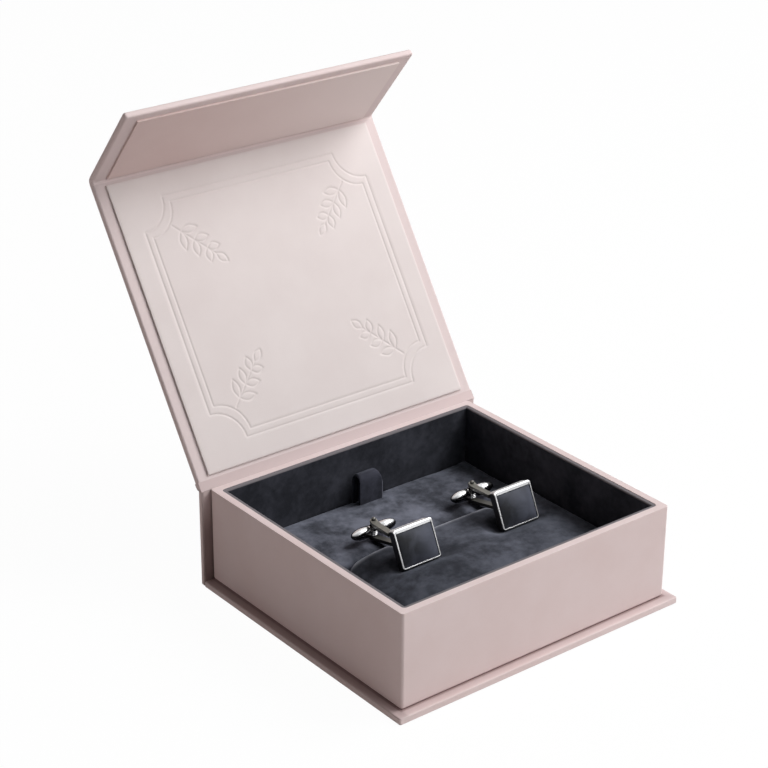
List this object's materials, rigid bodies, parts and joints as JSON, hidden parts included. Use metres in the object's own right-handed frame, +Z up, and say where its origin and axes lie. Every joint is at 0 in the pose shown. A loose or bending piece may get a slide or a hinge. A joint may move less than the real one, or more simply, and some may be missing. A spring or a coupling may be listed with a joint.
{
  "type": "cufflink display box",
  "caption": "Book-style rigid presentation box with a hinged lid, magnetic flap and lift-out velvet insert, holding a pair of swivel-toggle cufflinks.",
  "frame": {"origin": "centre of the tray's footprint, on the underside of the base board", "axes": "+X to the right across the width, -Y is the front where the flap closes, +Z up"},
  "size_m": [0.1102, 0.1563, 0.1463],
  "materials": {
    "cover_paper": "matt, soft-touch, dusty pink",
    "liner_card": "matt, pale pink, blind embossed",
    "greyboard": "rigid grey board",
    "velvet": "short-pile velvet, charcoal",
    "magnet_nickel": "nickel plated",
    "keeper_steel": "plain steel",
    "chrome_plate": "polished",
    "spring_steel": "bright wire",
    "inlay_fabric": "dark grey, domed, satin"
  },
  "bodies": {
    "case": {"base_board": "greyboard", "base_wrap": "cover_paper", "spine_board": "greyboard", "spine_wrap": "cover_paper", "tray_front_wall": "greyboard", "tray_back_wall": "greyboard", "tray_left_wall": "greyboard", "tray_right_wall": "greyboard", "tray_floor": "greyboard", "tray_wrap": "cover_paper", "tray_keepers": "keeper_steel", "lining_front": "velvet", "lining_back": "velvet", "lining_left": "velvet", "lining_right": "velvet", "lid_hinge_lining": "liner_card", "lid_hinge_cover": "cover_paper"},
    "lid": {"lid_board": "greyboard", "lid_wrap": "cover_paper", "lid_liner": "liner_card", "flap_hinge_cover": "cover_paper", "flap_hinge_lining": "liner_card"},
    "flap": {"flap_board": "greyboard", "flap_wrap": "cover_paper", "flap_liner": "liner_card", "flap_magnets": "magnet_nickel"},
    "insert": {"insert_card": "greyboard", "rear_pad": "velvet", "front_cushion": "velvet", "pull_ribbon": "velvet"},
    "cufflink_left": {"cufflink_left_bezel": "chrome_plate", "cufflink_left_inlay": "inlay_fabric", "cufflink_left_upper_arm": "chrome_plate", "cufflink_left_lower_arm": "chrome_plate", "cufflink_left_pivot_pin": "chrome_plate", "cufflink_left_spring": "spring_steel"},
    "toggle_left": {"cufflink_left_toggle": "chrome_plate"},
    "cufflink_right": {"cufflink_right_bezel": "chrome_plate", "cufflink_right_inlay": "inlay_fabric", "cufflink_right_upper_arm": "chrome_plate", "cufflink_right_lower_arm": "chrome_plate", "cufflink_right_pivot_pin": "chrome_plate", "cufflink_right_spring": "spring_steel"},
    "toggle_right": {"cufflink_right_toggle": "chrome_plate"}
  },
  "joints": [
    {"name": "lid_hinge", "type": "hinge", "parent": "case", "child": "lid", "pos_m": [0, 0.0484, 0.0348], "axis": [-1, 0, 0], "range_deg": [-123.4, 56.6], "deforming": ["lid_hinge_cover", "lid_hinge_lining"]},
    {"name": "flap_hinge", "type": "hinge", "parent": "lid", "child": "flap", "pos_m": [0, 0.10339, 0.1182], "axis": [-1, 0, 0], "range_deg": [-17.2, 72.8], "deforming": ["flap_hinge_cover", "flap_hinge_lining"]},
    {"name": "insert_lift", "type": "slide", "parent": "case", "child": "insert", "axis": [0, 0, 1], "range_m": [0, 0.045]},
    {"name": "cufflink_left_lift", "type": "slide", "parent": "insert", "child": "cufflink_left", "axis": [0, 0, 1], "range_m": [0, 0.03]},
    {"name": "cufflink_left_swivel", "type": "hinge", "parent": "cufflink_left", "child": "toggle_left", "pos_m": [-0.0119, 0.01675, 0.01939], "axis": [0, 0, 1], "range_deg": [0, 90]},
    {"name": "cufflink_right_lift", "type": "slide", "parent": "insert", "child": "cufflink_right", "axis": [0, 0, 1], "range_m": [0, 0.03]},
    {"name": "cufflink_right_swivel", "type": "hinge", "parent": "cufflink_right", "child": "toggle_right", "pos_m": [0.0283, 0.01675, 0.01939], "axis": [0, 0, 1], "range_deg": [0, 90]}
  ]
}
